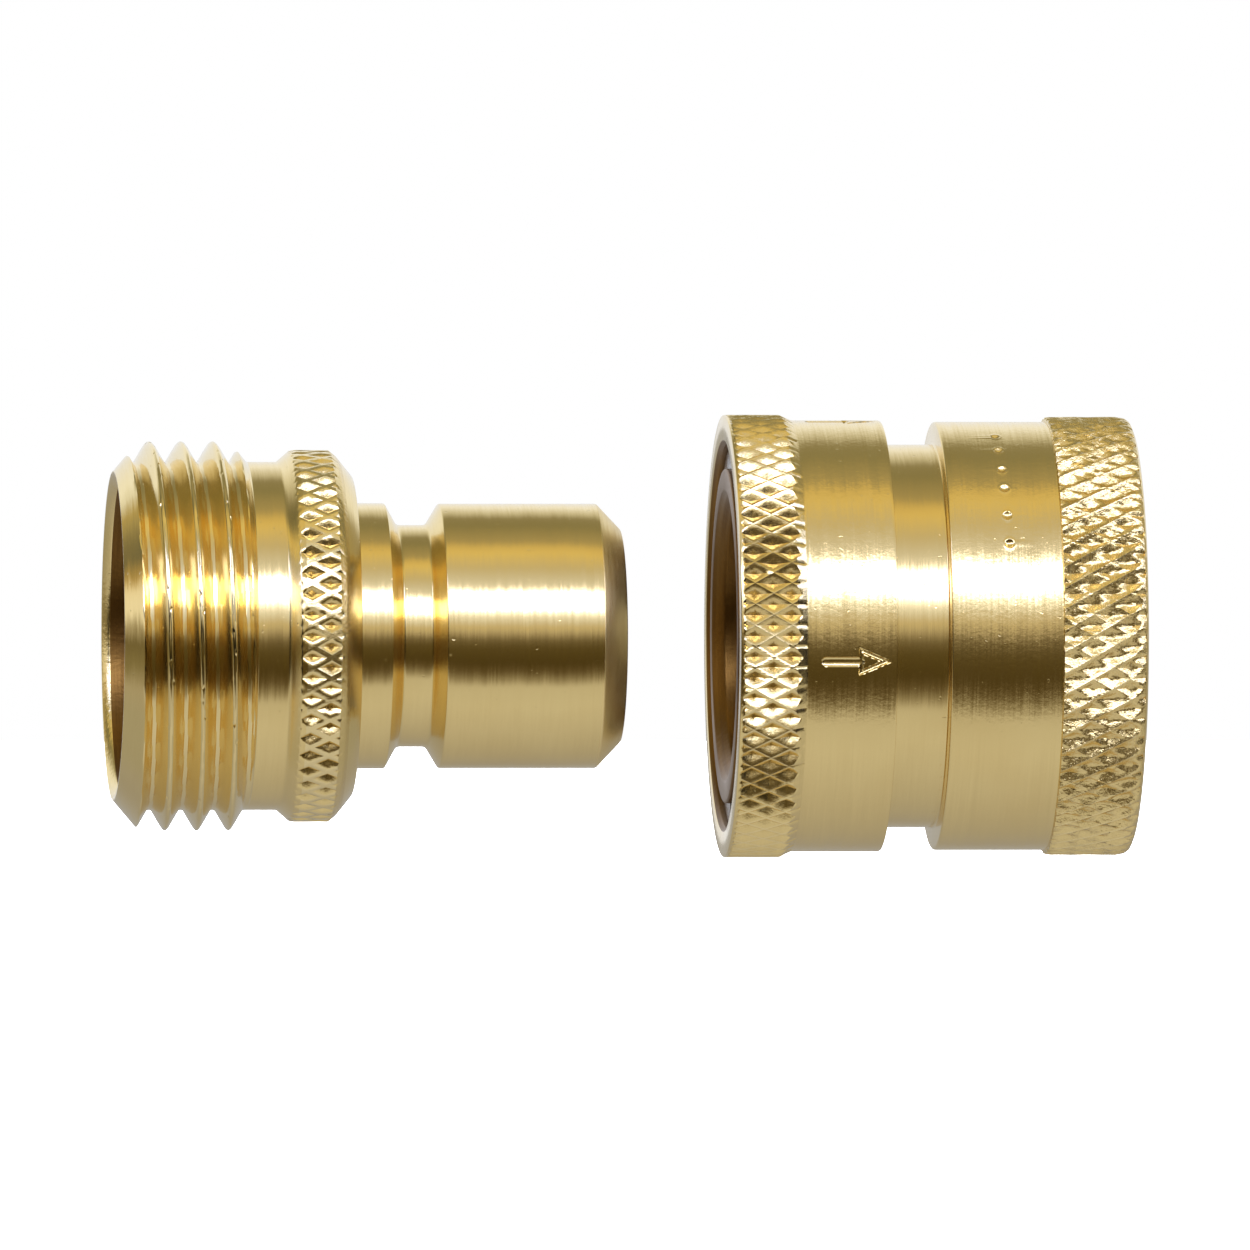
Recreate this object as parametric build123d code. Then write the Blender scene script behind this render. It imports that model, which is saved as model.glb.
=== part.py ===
from build123d import *
import math
import os

# Quick disconnect coupler for a 3/4 inch garden hose: a ball-lock socket and its plug, shown apart.
# X is the coupler's axis. The plug is on the -X side and the socket is on the +X side.
# The origin is on the axis, in the plane of the release sleeve's front edge. Lengths are in mm.

# Hose thread, 3/4-11.5 NH
THREAD_PITCH = 25.4 / 11.5
THREAD_MAJOR_R = 26.99 / 2
THREAD_DEPTH = 0.6495 * THREAD_PITCH
THREAD_ROOT_R = THREAD_MAJOR_R - THREAD_DEPTH
THREAD_CREST_FLAT = THREAD_PITCH / 8
THREAD_FLANK = math.radians(30)
THREAD_SINK = 0.15
FEMALE_MINOR_R = 12.47

# Plug, stations along its length from the threaded end
PLUG_GAP = 7.2
PLUG_LENGTH = 35.17
PLUG_MOUTH_R = 10.7
MOUTH_CHAMFER = 0.5
PLUG_BORE_R = 6.35
PLUG_MOUTH_DEPTH = 10.7
PLUG_BORE_START = 13.2
END_FACE_R = 11.4
CREST_PHASE = 0.26
THREAD_LEAD = 1.9
THREAD_FULL_TO = 7.9
THREAD_END = 9.2
COLLAR_START = 11.33
COLLAR_FULL_FROM = 12.27
COLLAR_FULL_TO = 15.06
COLLAR_END = 16.49
COLLAR_R = 12.88
COLLAR_FOOT_R = 11.1
SHOULDER_END = 18.77
SHOULDER_R = 9.2
GROOVE_FLOOR_FROM = 19.61
GROOVE_FLOOR_TO = 21.67
GROOVE_END = 22.57
GROOVE_R = 7.685
NOSE_R = 9.165
NOSE_END = 33.49
TIP_R = 7.4

# Lock balls and the release travel
BALL_COUNT = 8
BALL_R = 1.985
BALL_X = 4.0
BALL_IN_R = 9.916
BALL_TRAVEL = 1.34
SLEEVE_TRAVEL = 3.2
BALL_HOLE_R = 2.03
BALL_SEAT_R = 2.0

# Socket body
BORE_R = 9.25
BORE_MOUTH_R = 10.1
NOSE_FRONT = 0.1
SOCKET_NOSE_R = 11.6
NOSE_EDGE = 0.2
RING_GROOVE_FROM = 0.6
RING_GROOVE_TO = 1.32
RING_GROOVE_R = 10.7
SKIRT_FRONT = 10.0
SPRING_POCKET_FLOOR = 11.2
SPRING_POCKET_R = 12.88
GUIDE_R = 13.27
BAND_FROM = 14.6
BAND_R = 14.85
BAND_EDGE = 0.25
KNURL_FROM = 22.4
KNURL_R = 15.2
SOCKET_LENGTH = 28.3
SOCKET_END_ROUND = 0.75
SEAL_GROOVE_FROM = 12.4
SEAL_GROOVE_TO = 15.2
SEAL_GROOVE_R = 11.2
WEB_FROM = 19.0
WEB_TO = 19.9
WEB_HOLE_R = 7.8
WASHER_RECESS_TO = 22.5
WASHER_RECESS_R = 12.95
THREAD_MOUTH_EDGE = 0.4

# Release sleeve
SLEEVE_LENGTH = 10.87
SLEEVE_KNURL_R = 15.33
SLEEVE_KNURL_TO = 4.1
SLEEVE_SMOOTH_FROM = 4.66
SLEEVE_R = 14.95
SLEEVE_BORE_R = 13.3
SLEEVE_EDGE = 0.3
LAND_FROM = 3.85
LAND_TO = 4.7
LAND_R = 12.142

# Small parts
RING_INNER_R = 10.72
RING_OUTER_R = 13.15
RING_FROM = 0.62
RING_TO = 1.3
RING_SPLIT = 2.4
SPRING_WIRE_R = 0.35
SPRING_R = 12.45
SPRING_TURNS = 3
SPRING_SEAT_GAP = 0.03
SEAL_WIRE_R = 0.98
SEAL_INNER_R = 9.185
WASHER_FROM = 19.93
WASHER_TO = 22.4
WASHER_INNER_R = 7.95
WASHER_OUTER_R = 12.7
WASHER_EDGE = 0.3

PLUG_START = -(PLUG_GAP + PLUG_LENGTH)


def turned(outline):
    """Revolve an outline of (x, radius) points about the coupler's axis."""
    wire = Polyline(*[(x, 0, radius) for x, radius in outline], close=True)
    return revolve(make_face(wire), Axis.X)


def male_thread():
    """One helical ridge, trimmed by the lead-in chamfer and by the run-out cone."""
    sunk_r = THREAD_ROOT_R - THREAD_SINK
    half_crest = THREAD_CREST_FLAT / 2
    half_base = half_crest + (THREAD_MAJOR_R - sunk_r) * math.tan(THREAD_FLANK)
    start = CREST_PHASE - THREAD_PITCH / 2
    turns = math.ceil((THREAD_END - start) / THREAD_PITCH) + 1
    helix = Helix(THREAD_PITCH, turns * THREAD_PITCH, THREAD_ROOT_R)
    section = Polyline(
        (sunk_r, 0, -half_base),
        (THREAD_MAJOR_R, 0, -half_crest),
        (THREAD_MAJOR_R, 0, half_crest),
        (sunk_r, 0, half_base),
        close=True,
    )
    ridge = sweep(make_face(section), path=helix, is_frenet=True)
    ridge = Pos(start, 0, 0) * Rotation(0, 90, 0) * ridge
    envelope = turned(
        [
            (0, 0),
            (0, END_FACE_R),
            (THREAD_LEAD, THREAD_MAJOR_R + THREAD_SINK),
            (THREAD_FULL_TO, THREAD_MAJOR_R + THREAD_SINK),
            (THREAD_END, THREAD_ROOT_R),
            (THREAD_END, 0),
        ]
    )
    return ridge & envelope


def plug_body():
    """Turned plug: hose thread, knurled collar, lock groove and nose, with its waterway."""
    root_from = (THREAD_ROOT_R - END_FACE_R) * THREAD_LEAD / (THREAD_MAJOR_R + THREAD_SINK - END_FACE_R)
    core = turned(
        [
            (0, PLUG_MOUTH_R + MOUTH_CHAMFER),
            (0, END_FACE_R),
            (root_from, THREAD_ROOT_R),
            (COLLAR_START, THREAD_ROOT_R),
            (COLLAR_FULL_FROM, COLLAR_R),
            (COLLAR_FULL_TO, COLLAR_R),
            (COLLAR_END, COLLAR_FOOT_R),
            (COLLAR_END, SHOULDER_R),
            (SHOULDER_END, SHOULDER_R),
            (GROOVE_FLOOR_FROM, GROOVE_R),
            (GROOVE_FLOOR_TO, GROOVE_R),
            (GROOVE_END, NOSE_R),
            (NOSE_END, NOSE_R),
            (PLUG_LENGTH, TIP_R),
            (PLUG_LENGTH, PLUG_BORE_R),
            (PLUG_BORE_START, PLUG_BORE_R),
            (PLUG_MOUTH_DEPTH, PLUG_MOUTH_R),
            (MOUTH_CHAMFER, PLUG_MOUTH_R),
        ]
    )
    return Pos(PLUG_START, 0, 0) * (core + male_thread())


def ball_angles():
    """Angles of the lock balls about the axis, in degrees from +Z."""
    return [index * 360 / BALL_COUNT for index in range(BALL_COUNT)]


def ball_hole():
    """Cutter for one ball's hole: a drilled bore that ends in a seat smaller than the ball."""
    depth = SOCKET_NOSE_R - BALL_IN_R + 1
    drill = Pos(BALL_X, 0, BALL_IN_R) * Cylinder(BALL_HOLE_R, depth, align=(Align.CENTER, Align.CENTER, Align.MIN))
    seat = Pos(BALL_X, 0, BALL_IN_R) * Sphere(BALL_SEAT_R)
    return drill + seat


def socket_body():
    """Turned socket: ball nose, sleeve guide, seal groove, web, washer recess and hose bore."""
    body = turned(
        [
            (NOSE_FRONT, BORE_MOUTH_R),
            (NOSE_FRONT, SOCKET_NOSE_R - NOSE_EDGE),
            (NOSE_FRONT + NOSE_EDGE, SOCKET_NOSE_R),
            (RING_GROOVE_FROM, SOCKET_NOSE_R),
            (RING_GROOVE_FROM, RING_GROOVE_R),
            (RING_GROOVE_TO, RING_GROOVE_R),
            (RING_GROOVE_TO, SOCKET_NOSE_R),
            (SPRING_POCKET_FLOOR, SOCKET_NOSE_R),
            (SPRING_POCKET_FLOOR, SPRING_POCKET_R),
            (SKIRT_FRONT, SPRING_POCKET_R),
            (SKIRT_FRONT, GUIDE_R),
            (BAND_FROM, GUIDE_R),
            (BAND_FROM, BAND_R - BAND_EDGE),
            (BAND_FROM + BAND_EDGE, BAND_R),
            (KNURL_FROM, BAND_R),
            (KNURL_FROM, KNURL_R),
            (SOCKET_LENGTH - SOCKET_END_ROUND, KNURL_R),
            (SOCKET_LENGTH, KNURL_R - SOCKET_END_ROUND),
            (SOCKET_LENGTH, FEMALE_MINOR_R + THREAD_MOUTH_EDGE),
            (SOCKET_LENGTH - THREAD_MOUTH_EDGE, FEMALE_MINOR_R),
            (WASHER_RECESS_TO, FEMALE_MINOR_R),
            (WASHER_RECESS_TO, WASHER_RECESS_R),
            (WEB_TO, WASHER_RECESS_R),
            (WEB_TO, WEB_HOLE_R),
            (WEB_FROM, WEB_HOLE_R),
            (WEB_FROM, BORE_R),
            (SEAL_GROOVE_TO, BORE_R),
            (SEAL_GROOVE_TO, SEAL_GROOVE_R),
            (SEAL_GROOVE_FROM, SEAL_GROOVE_R),
            (SEAL_GROOVE_FROM, BORE_R),
            (NOSE_FRONT + BORE_MOUTH_R - BORE_R, BORE_R),
        ]
    )
    for angle in ball_angles():
        body -= Rotation(angle, 0, 0) * ball_hole()
    return body


def release_sleeve():
    """Sleeve with the ball track inside: front relief, cone, locking land and rear bore."""
    cone_from = LAND_FROM - (SLEEVE_BORE_R - LAND_R) * SLEEVE_TRAVEL / BALL_TRAVEL
    return turned(
        [
            (0, SLEEVE_BORE_R + SLEEVE_EDGE),
            (0, SLEEVE_KNURL_R - SLEEVE_EDGE),
            (SLEEVE_EDGE, SLEEVE_KNURL_R),
            (SLEEVE_KNURL_TO, SLEEVE_KNURL_R),
            (SLEEVE_SMOOTH_FROM, SLEEVE_R),
            (SLEEVE_LENGTH - SLEEVE_EDGE, SLEEVE_R),
            (SLEEVE_LENGTH, SLEEVE_R - SLEEVE_EDGE),
            (SLEEVE_LENGTH, SLEEVE_BORE_R),
            (LAND_TO, SLEEVE_BORE_R),
            (LAND_TO, LAND_R),
            (LAND_FROM, LAND_R),
            (cone_from, SLEEVE_BORE_R),
            (SLEEVE_EDGE, SLEEVE_BORE_R),
        ]
    )


def retaining_ring():
    """Split ring in the socket's front groove, which stops the sleeve from coming off."""
    ring = turned(
        [
            (RING_FROM, RING_INNER_R),
            (RING_FROM, RING_OUTER_R),
            (RING_TO, RING_OUTER_R),
            (RING_TO, RING_INNER_R),
        ]
    )
    split_width = 2 * RING_OUTER_R
    split = Pos(0, 0, -RING_OUTER_R) * Box(split_width, RING_SPLIT, RING_OUTER_R)
    return ring - split


def sleeve_spring():
    """Helical spring between the sleeve's inner shoulder and the pocket in the socket body."""
    first = LAND_TO + SPRING_SEAT_GAP + SPRING_WIRE_R
    last = SPRING_POCKET_FLOOR - SPRING_SEAT_GAP - SPRING_WIRE_R
    pitch = (last - first) / SPRING_TURNS
    helix = Helix(pitch, last - first, SPRING_R)
    wire = Plane(origin=helix @ 0, z_dir=helix % 0) * Circle(SPRING_WIRE_R)
    spring = sweep(wire, path=helix, is_frenet=True)
    return Pos(first, 0, 0) * Rotation(0, 90, 0) * spring


def nose_seal():
    """O-ring in the socket's seal groove, drawn as the plug leaves it."""
    middle = (SEAL_GROOVE_FROM + SEAL_GROOVE_TO) / 2
    return Pos(middle, 0, 0) * Rotation(0, 90, 0) * Torus(SEAL_INNER_R + SEAL_WIRE_R, SEAL_WIRE_R)


def hose_washer():
    """Flat rubber washer behind the hose thread."""
    return turned(
        [
            (WASHER_FROM, WASHER_INNER_R + WASHER_EDGE),
            (WASHER_FROM, WASHER_OUTER_R - WASHER_EDGE),
            (WASHER_FROM + WASHER_EDGE, WASHER_OUTER_R),
            (WASHER_TO - WASHER_EDGE, WASHER_OUTER_R),
            (WASHER_TO, WASHER_OUTER_R - WASHER_EDGE),
            (WASHER_TO, WASHER_INNER_R + WASHER_EDGE),
            (WASHER_TO - WASHER_EDGE, WASHER_INNER_R),
            (WASHER_FROM + WASHER_EDGE, WASHER_INNER_R),
        ]
    )


def lock_ball(angle):
    """One lock ball, held in the plug's groove by the sleeve's land."""
    return Rotation(angle, 0, 0) * Pos(BALL_X, 0, BALL_IN_R) * Sphere(BALL_R)


def write_parts():
    """Write one STEP file for each piece."""
    pieces = {
        "plug_body": plug_body(),
        "socket_body": socket_body(),
        "release_sleeve": release_sleeve(),
        "retaining_ring": retaining_ring(),
        "sleeve_spring": sleeve_spring(),
        "nose_seal": nose_seal(),
        "hose_washer": hose_washer(),
    }
    for number, angle in enumerate(ball_angles(), start=1):
        pieces[f"lock_ball_{number}"] = lock_ball(angle)
    os.makedirs("parts", exist_ok=True)
    for name, piece in pieces.items():
        export_step(piece, os.path.join("parts", f"{name}.step"))


write_parts()
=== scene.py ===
import math
import bpy
import numpy as np
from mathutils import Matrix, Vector


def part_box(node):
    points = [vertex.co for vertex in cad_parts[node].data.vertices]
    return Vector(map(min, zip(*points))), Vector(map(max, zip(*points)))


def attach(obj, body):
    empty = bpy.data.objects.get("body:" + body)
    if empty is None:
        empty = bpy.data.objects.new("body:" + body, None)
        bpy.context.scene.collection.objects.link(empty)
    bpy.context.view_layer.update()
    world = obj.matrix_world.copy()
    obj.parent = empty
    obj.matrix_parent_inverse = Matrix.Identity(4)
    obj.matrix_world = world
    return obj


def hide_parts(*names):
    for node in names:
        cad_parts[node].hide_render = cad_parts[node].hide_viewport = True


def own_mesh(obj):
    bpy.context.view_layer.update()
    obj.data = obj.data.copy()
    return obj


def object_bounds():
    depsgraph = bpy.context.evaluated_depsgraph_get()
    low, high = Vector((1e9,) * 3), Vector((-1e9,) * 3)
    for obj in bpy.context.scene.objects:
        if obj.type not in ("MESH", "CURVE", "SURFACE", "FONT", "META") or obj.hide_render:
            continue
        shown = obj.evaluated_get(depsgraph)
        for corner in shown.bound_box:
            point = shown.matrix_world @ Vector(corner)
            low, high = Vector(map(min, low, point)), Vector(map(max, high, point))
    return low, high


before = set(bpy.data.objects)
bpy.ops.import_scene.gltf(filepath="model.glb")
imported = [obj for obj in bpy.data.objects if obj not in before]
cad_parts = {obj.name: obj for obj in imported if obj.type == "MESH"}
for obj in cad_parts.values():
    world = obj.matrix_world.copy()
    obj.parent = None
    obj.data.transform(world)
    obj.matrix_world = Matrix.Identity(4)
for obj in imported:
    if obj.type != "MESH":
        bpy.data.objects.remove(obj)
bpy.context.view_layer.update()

# Looks of a brass garden-hose quick coupler. Outlines and reliefs are in mm. The frame, the spring, the ball
# holes and the studio are in metres, and MM turns one into the other.
# X is the coupler's axis. An angle phi runs from the side that faces the camera (-Y) up to +Z, in degrees.

MM = 0.001
STEP_PLAIN = 3.0

# Where the plug and the sleeve start and where the socket ends, along the axis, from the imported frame
PLUG_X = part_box("plug_body")[0][0] / MM
SLEEVE_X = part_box("release_sleeve")[0][0] / MM
SOCKET_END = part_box("socket_body")[1][0] / MM

# 3/4-11.5 NH hose thread
PITCH = 25.4 / 11.5
SHARP_HEIGHT = PITCH * math.sqrt(3) / 2
THREAD_DEPTH = 0.6495 * PITCH
MAJOR_R = 26.99 / 2
ROOT_R = MAJOR_R - THREAD_DEPTH
MINOR_R = 12.47
CREST_AT_TOP = 0.26

# The plug's thread grows out of the mouth's lead-in and sinks into the neck, each along a cone. NICK_DEPTH
# scales the small dents in its crest.
LEAD_IN_R = 11.4
LEAD_IN_SLOPE = 1.18
NECK_R = 12.06
RUN_OUT_X = 9.2
RUN_OUT_SLOPE = 1.22
NICK_DEPTH = 0.24

# Smooth bands that carry the marks, and the plug's waterway
BODY_BAND_R = 14.85
SLEEVE_BAND_R = 14.95
WATERWAY_R = 6.35

BALL_COUNT = 8

# Knurled bands of diamond pits between raised ribs. count is pits around, lead the axial distance from a pit
# to the next, x the place of one pit, and r the outside radius. blunt rounds a rib's top, and land is the
# share of the ribs' spacing that their tops leave flat. CELL_STEPS is how many rows and columns a pit gets.
CELL_STEPS = 8
SLEEVE_KNURL = {"count": 65, "lead": 2.57, "x": 0.97, "r": 15.33, "depth": 0.54, "blunt": 0.16, "land": 0.0}
COLLAR_KNURL = {"count": 54, "lead": 2.66, "x": 12.89, "r": 12.88, "depth": 0.48, "blunt": 0.25, "land": 0.2}
BODY_KNURL = {"count": 64, "lead": 2.6, "x": 23.1, "r": 15.2, "depth": 0.48}

# Marks
ARROW_COUNT = 4
ARROW_PHI = -6.8
ARROW_SHAFT = (5.57, 8.2)
ARROW_SHAFT_HALF = 0.33
ARROW_HEAD = (8.14, 10.5)
ARROW_HEAD_HALF = 1.02
ARROW_GROOVE = 0.34
ARROW_DEPTH = 0.15
DOT_X = 18.6
DOT_PHIS = (25.5, 34.1, 43.4, 50.8, 59.7, 68.1)
DOT_R = 0.33
DOT_DEPTH = 0.16
DOT_RIM = 0.02
# The row of dots leans a little: mm along the axis for each degree away from the middle angle
DOT_SLANT = -0.007
DOT_MIDDLE_PHI = 45


# ---------------------------------------------------------------- turned shapes


def outline(corners):
    """Closed outline from corners of (x, r, rounding, step, zone).

    A zone and a step last until the next corner.
    """
    points = []
    count = len(corners)
    for index, (x, r, rounding, step, zone) in enumerate(corners):
        here = np.array([x, r], float)
        back = np.array(corners[index - 1][:2], float) - here
        ahead = np.array(corners[(index + 1) % count][:2], float) - here
        cut = min(rounding, 0.4 * np.linalg.norm(back), 0.4 * np.linalg.norm(ahead))
        start = here + back / np.linalg.norm(back) * cut
        end = here + ahead / np.linalg.norm(ahead) * cut
        steps = 0 if cut == 0 else 1 if cut < 0.07 else 2 if cut < 0.16 else 4
        for k in range(steps + 1):
            t = k / steps if steps else 0
            points.append((*((1 - t) ** 2 * start + 2 * t * (1 - t) * here + t * t * end), step, zone))
    rows = []
    for index, (x, r, step, zone) in enumerate(points):
        after = points[(index + 1) % len(points)]
        length = math.hypot(after[0] - x, after[1] - r)
        pieces = max(1, math.ceil(length / (step or STEP_PLAIN) - 1e-6))
        for k in range(pieces):
            t = k / pieces
            rows.append((x + (after[0] - x) * t, r + (after[1] - r) * t, zone))
    return rows


def ring_angles(count, fine=()):
    """Even angles in degrees, with extra ones in each fine stretch of (centre, half width, step)."""
    angles = list(np.arange(count) * 360 / count)
    for centre, half, step in fine:
        angles += list(np.arange(centre - half, centre + half, step) % 360)
    angles = np.unique(np.round(angles, 4))
    gap = np.diff(np.append(angles, angles[0] + 360))
    return angles[gap > 0.02]


def turned(name, corners, angles, relief, materials, offset):
    """Closed mesh revolved about X. relief(x, phi, r, zones) gives each point's final radius."""
    rows = outline(corners)
    x = np.array([row[0] for row in rows])
    r = np.array([row[1] for row in rows])
    zones = [row[2] for row in rows]
    wide_x, wide_phi = np.meshgrid(x, angles, indexing="ij")
    wide_r = relief(wide_x, wide_phi, np.repeat(r[:, None], len(angles), 1), np.array(zones))
    next_x, next_r = np.roll(x, -1), np.roll(r, -1)
    step_phi = np.diff(np.append(angles, angles[0] + 360))
    mid_x, mid_phi = np.meshgrid((x + next_x) / 2, angles + step_phi / 2, indexing="ij")
    mid_r = relief(mid_x, mid_phi, np.repeat(((r + next_r) / 2)[:, None], len(angles), 1), np.array(zones))
    turn = np.radians(wide_phi)
    places = np.stack([wide_x + offset, -wide_r * np.cos(turn), wide_r * np.sin(turn)], -1)
    verts = places.reshape(-1, 3) * MM

    faces = split_quads(wide_r, mid_r)
    names = list(materials)
    slot_of_row = np.array([names.index(zone) for zone in zones])
    slots = np.tile(np.repeat(slot_of_row, len(angles)), 2)
    corner = verts[faces]
    volume = np.einsum("ij,ij->i", corner[:, 0], np.cross(corner[:, 1], corner[:, 2])).sum()
    if volume < 0:
        faces = faces[:, ::-1]
    return mesh_object(name, verts, faces, [materials[zone] for zone in names], slots)


def split_quads(radii, mid_radii):
    """Two triangles for each cell of a closed grid, cut along the diagonal nearer the true surface."""
    count_rows, count_cols = radii.shape
    i, j = np.meshgrid(np.arange(count_rows), np.arange(count_cols), indexing="ij")
    ni, nj = (i + 1) % count_rows, (j + 1) % count_cols
    a, b = i * count_cols + j, ni * count_cols + j
    c, d = ni * count_cols + nj, i * count_cols + nj
    along = np.abs((radii[i, j] + radii[ni, nj]) / 2 - mid_radii)
    across = np.abs((radii[ni, j] + radii[i, nj]) / 2 - mid_radii)
    first = along <= across
    tri_1 = np.where(first[..., None], np.stack([a, b, c], -1), np.stack([a, b, d], -1))
    tri_2 = np.where(first[..., None], np.stack([a, c, d], -1), np.stack([b, c, d], -1))
    return np.concatenate([tri_1.reshape(-1, 3), tri_2.reshape(-1, 3)])


def mesh_object(name, verts, faces, materials, slots=None, sharp=32):
    """Object from arrays of points and of triangles or quads, smooth with sharp edges by angle."""
    sides = faces.shape[1]
    mesh = bpy.data.meshes.new(name)
    mesh.vertices.add(len(verts))
    mesh.vertices.foreach_set("co", np.ascontiguousarray(verts, dtype=np.float32).ravel())
    mesh.loops.add(faces.size)
    mesh.loops.foreach_set("vertex_index", np.ascontiguousarray(faces, dtype=np.int32).ravel())
    mesh.polygons.add(len(faces))
    mesh.polygons.foreach_set("loop_start", np.arange(0, faces.size, sides, dtype=np.int32))
    for material in materials:
        mesh.materials.append(material)
    if slots is not None:
        mesh.polygons.foreach_set("material_index", np.ascontiguousarray(slots, dtype=np.int32))
    mesh.update(calc_edges=True)
    mesh.validate()
    mesh.polygons.foreach_set("use_smooth", np.ones(len(mesh.polygons), dtype=bool))
    mesh.set_sharp_from_angle(angle=math.radians(sharp))
    obj = bpy.data.objects.new(name, mesh)
    bpy.context.scene.collection.objects.link(obj)
    return obj


def soft_min(a, b, width):
    """The lower of two values, rounded over where they cross."""
    return 0.5 * (a + b - np.sqrt((a - b) ** 2 + width * width))


def ridge_height(x, phi, crest, width):
    """Height above the root of a right-hand thread whose crest is at x = crest at the top of the part."""
    middle = crest - PITCH * (phi - 90) / 360
    t = np.abs((x - middle + PITCH / 2) % PITCH - PITCH / 2)
    flank = math.sqrt(3) * (PITCH / 2 - t) - SHARP_HEIGHT / 8
    return -soft_min(-soft_min(flank, THREAD_DEPTH + 0.03, width), 0.0, 0.04)


def to_line(u):
    """Distance of u from the nearest whole number."""
    return np.abs(u - np.round(u))


def wobble(x, phi, seed):
    """Smooth variation between about -1 and 1, the same on every run."""
    turn = np.radians(phi)
    return (
        np.sin(3 * turn + 1.9 * x + seed)
        + np.sin(7 * turn - 2.7 * x + 2.3 * seed)
        + np.sin(13 * turn + 0.8 * x + 4.1 * seed)
    ) / 3


def cell_value(a, b, seed):
    """A fixed pseudo-random value from 0 to 1 for each knurl diamond."""
    raw = np.sin(np.floor(a) * 12.9898 + np.floor(b) * 78.233 + seed) * 43758.5453
    return raw - np.floor(raw)


def rib(u, blunt, land=0.0):
    """0 on the middle of a raised rib, at whole u, and 1 half way to the next. blunt rounds the rib's top."""
    away = np.maximum(0.0, 2 * to_line(u) - land) / (1 - land)
    return (np.sqrt(away * away + blunt * blunt) - blunt) / (math.sqrt(1 + blunt * blunt) - blunt)


def lattice(x, phi, knurl):
    """Positions across the two crossing sets of ribs. The first set falls with x and the second rises."""
    u = knurl["count"] * phi / 360
    along = (x - knurl["x"]) / knurl["lead"]
    return u + along + 0.5, u - along + 0.5


def pitted_cut(x, phi, knurl):
    """Depth of an even knurl: diamond pits between two equal sets of rounded ribs.

    The ribs wander a little, and no two pits are cut to quite the same depth.
    """
    falling, rising = lattice(x, phi, knurl)
    falling = falling + 0.02 * wobble(x, phi, 4.0)
    rising = rising + 0.02 * wobble(x, phi, 6.0)
    blunt, land = knurl["blunt"], knurl["land"]
    pits = soft_min(rib(falling, blunt, land), rib(rising, blunt, land), 0.03)
    uneven = 0.86 + 0.18 * cell_value(falling, rising, 1.0) + 0.07 * wobble(x, phi, 1.0)
    return knurl["depth"] * pits * uneven


def ragged_cut(x, phi, knurl):
    """Depth of the body's knurl: crisp ribs that rise with x, and low uneven ones with a double track.

    low is how far each pit's crossing rib is worn down, and track the shallow second mark beside it.
    """
    falling, rising = lattice(x, phi, knurl)
    drift = 0.045 * wobble(x, phi, 2.0)
    value = cell_value(falling, rising, 3.0)
    crisp = rib(rising + drift, 0.1)
    low = 0.04 + 0.3 * value
    cross = low + (1 - low) * rib(falling - 1.7 * drift, 0.15)
    track = 0.42 + 0.35 * value + 0.8 * to_line(falling + 0.33 + 2 * drift)
    pits = np.minimum(np.minimum(crisp, cross), track)
    return knurl["depth"] * pits * (1 + 0.12 * wobble(x, phi, 5.0))


def knurl_rows(knurl, low, high):
    """First and last x of the rows that line up with the pits, inside low to high, and their spacing."""
    step = knurl["lead"] / CELL_STEPS
    first = knurl["x"] + math.ceil((low - knurl["x"]) / step - 1e-6) * step
    last = knurl["x"] + math.floor((high - knurl["x"]) / step + 1e-6) * step
    return first, last, step


# ---------------------------------------------------------------- plug


def plug_relief(x, phi, r, zones):
    """Real helical thread with its lead-in and run-out, and the collar's knurl."""
    ridge = ROOT_R + ridge_height(x, phi, CREST_AT_TOP, 0.2)
    lead_in = LEAD_IN_R + LEAD_IN_SLOPE * x
    run_out = NECK_R + RUN_OUT_SLOPE * (RUN_OUT_X - x)
    limit = soft_min(soft_min(lead_in, run_out, 0.05), MAJOR_R, 0.02)
    thread = np.maximum(r, np.minimum(ridge, limit))
    nick = np.clip(wobble(9 * x, 11 * phi, 0.7) * wobble(4 * x, 5 * phi, 2.1) - 0.28, 0, 1)
    near_crest = np.clip((thread - MAJOR_R + 0.25) / 0.1, 0, 1)
    thread = np.maximum(r, thread - NICK_DEPTH * nick * near_crest)
    knurl = np.minimum(r, COLLAR_KNURL["r"] - pitted_cut(x, phi, COLLAR_KNURL))
    result = np.where((zones == "thread")[:, None], thread, r)
    return np.where(np.isin(zones, ("knurl", "chamfer"))[:, None], knurl, result)


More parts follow.
